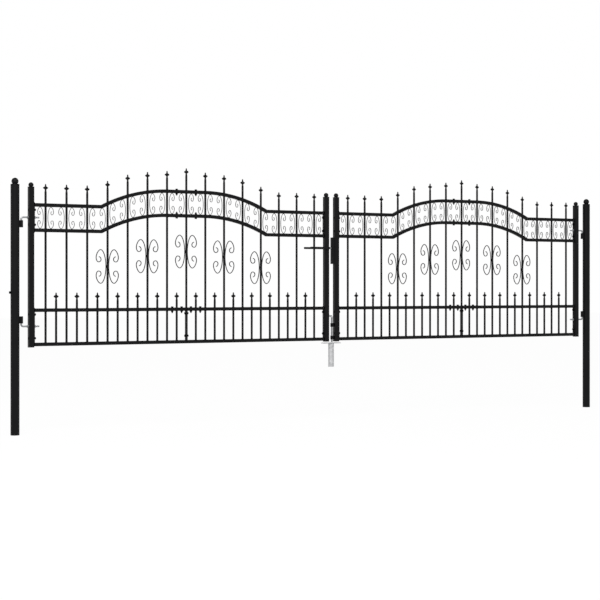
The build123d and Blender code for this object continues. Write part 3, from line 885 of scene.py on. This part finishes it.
low, high = corners("drop_bolt_guides")
guide_outer = (high[1] - low[1]) / 2
guide_clearance = 0.2
guide_bore = drop_radius + guide_clearance
guide_length = 29
guide_edge = 1
guide_web = 12
guide_web_start = drop_x + guide_bore + guide_edge
guide_profile = bored(guide_outer, guide_bore, guide_length, guide_edge)
guide_half = np.array([0, guide_web / 2, guide_length / 2 - guide_edge])
surfaces = []
for z in (low[2] + guide_length / 2, high[2] - guide_length / 2):
    surfaces.append(skin(turned(guide_profile, (drop_x, 0, z), columns=32), loop=True))
    surfaces.append(block((guide_web_start, 0, z) - guide_half, (high[0], 0, z) + guide_half, guide_edge))
make("welded_bolt_guides", "right_leaf", black_coat, surfaces, ["drop_bolt_guides"])

# Ground sleeve: a galvanised tube under a flat zinc-plated plate, set flush with the ground in the middle
# of the gateway. The drop bolt falls into its bore.


def galvanised():
    """Steel dipped in molten zinc: pale grey and mat, with spangles, flat crystals about 15 mm across that
    each catch the light a little differently."""
    spangle_size = 15 * MM
    material, tree, shader, coordinates = bare_material("hot_dip_galvanised_steel")
    spangle = add_node(tree, "ShaderNodeTexVoronoi", {"Vector": coordinates, "Scale": 1 / spangle_size})
    shade = add_node(tree, "ShaderNodeSeparateColor", {"Color": spangle.outputs["Color"]})
    vary(tree, shader, shade.outputs["Red"], ("#b2b3b4", "#cacacb"), shade.outputs["Green"], (0.42, 0.6))
    shader.inputs["Metallic"].default_value = 1.0
    return material


galvanised_steel = ("zinc_plated_steel", galvanised())
low, high = corners("ground_sleeve")
sleeve_middle = np.array([(low[0] + high[0]) / 2, 0, 0])
tube_radius = 45 / 2
tube_bore = tube_radius - 3
ground_plate = 5
plate_bore_chamfer = 0.5
plate_rim_chamfer = 0.6
plate_rim_share = 0.99
weld_bead = 2
plate_foot, plate_top = high[2] - ground_plate, high[2]
plate_half = (high - low)[:2] / 2
tube_profile = [(tube_bore, low[2]), (tube_bore, plate_foot), (tube_radius + weld_bead, plate_foot),
                (tube_radius, plate_foot - weld_bead), (tube_radius, low[2])]
make("galvanised_ground_tube", "posts", galvanised_steel,
     [skin(turned(tube_profile, sleeve_middle), loop=True)], ["ground_sleeve"])


def bored_plate(columns=64):
    """A rectangle round a circle, both as functions of the angle: each ring's points lie on rays from the
    middle, on the bore at its radius and on the rectangle at the nearer of its two sides; rays through the
    corners are added. The edges of the top are broken a little."""
    corner = np.arctan2(plate_half[1], plate_half[0])
    angle = np.linspace(-pi, pi, columns, endpoint=False)
    angle = np.unique(np.concatenate([angle, [corner, pi - corner, -corner, corner - pi]]))
    ray = np.stack([np.cos(angle), np.sin(angle)], -1)
    outline = ray * np.min(plate_half / np.maximum(np.abs(ray), 1e-6), axis=1, keepdims=True)
    bore, bore_edge = tube_bore * ray, (tube_bore + plate_bore_chamfer) * ray
    return stacked([(bore, plate_foot), (bore, plate_top - plate_bore_chamfer), (bore_edge, plate_top),
                    (outline * plate_rim_share, plate_top), (outline, plate_top - plate_rim_chamfer),
                    (outline, plate_foot)])


make("flat_ground_plate", "posts", zinc, [skin(bored_plate() + sleeve_middle, loop=True)])

# Stage: a plain white floor under the posts, even white light from all round and a soft lamp from the
# upper left. The camera stands to the left of the gate, level, a little above its middle rails.

scene = bpy.context.scene
scene.view_settings.view_transform = "Standard"


def seen_directly(tree):
    """1 for rays from the camera, off a gloss or through glass, and 0 for those that light the object."""
    rays = tree.nodes.new("ShaderNodeLightPath").outputs
    seen = rays["Is Camera Ray"]
    for kind in ("Is Glossy Ray", "Is Transmission Ray"):
        either = add_node(tree, "ShaderNodeMath", {0: seen, 1: rays[kind]}, operation="ADD", use_clamp=True)
        seen = either.outputs[0]
    return seen


floor_half = 40
floor_white_share = 0.96
floor_corners = floor_half * np.array([(-1, -1, 0), (1, -1, 0), (1, 1, 0), (-1, 1, 0)])
floor_mesh = bpy.data.meshes.new("floor")
floor_mesh.from_pydata(floor_corners.tolist(), [], [(0, 1, 2, 3)])
floor = bpy.data.objects.new("floor", floor_mesh)
bpy.context.collection.objects.link(floor)

floor_material = bpy.data.materials.new("white_studio_floor")
floor_material.use_nodes = True
tree = floor_material.node_tree
tree.nodes.remove(tree.nodes["Principled BSDF"])
paper = add_node(tree, "ShaderNodeBsdfDiffuse", {"Color": linear("#f4f4f4")})
glow = add_node(tree, "ShaderNodeEmission", {"Color": linear("#ffffff"), "Strength": 1.0})
# The part that isn't white by itself keeps the object's shadow
share = add_node(tree, "ShaderNodeMath", {0: seen_directly(tree), 1: floor_white_share},
                 operation="MULTIPLY")
mixed = add_node(tree, "ShaderNodeMixShader",
                 {0: share.outputs[0], 1: paper.outputs[0], 2: glow.outputs[0]})
tree.links.new(mixed.outputs[0], tree.nodes["Material Output"].inputs["Surface"])
floor_mesh.materials.append(floor_material)

world_light = 0.6
world = bpy.data.worlds.new("white_studio")
scene.world = world
world.use_nodes = True
tree = world.node_tree
backdrop = tree.nodes["Background"]
backdrop.inputs["Color"].default_value = linear("#ffffff")
level = add_node(tree, "ShaderNodeMapRange",
                 {"Value": seen_directly(tree), "To Min": world_light, "To Max": 1.0})
tree.links.new(level.outputs["Result"], backdrop.inputs["Strength"])

lamp_data = bpy.data.lights.new("soft_lamp", "AREA")
lamp_data.shape = "DISK"
lamp_data.size = 6
lamp_data.energy = 900
lamp = bpy.data.objects.new("soft_lamp", lamp_data)
lamp.location = (-3, -7, 8)
lamp.rotation_euler = (radians(42), 0, radians(-35))
bpy.context.collection.objects.link(lamp)

camera_data = bpy.data.cameras.new("camera")
camera_data.lens = 89.09
camera_data.sensor_width = 36
camera_data.shift_y = -0.0187
camera = bpy.data.objects.new("camera", camera_data)
camera.location = (-3.285, -10.036, 1.0228)
camera.rotation_euler = (radians(90), 0, radians(-28.99))
bpy.context.collection.objects.link(camera)
scene.camera = camera
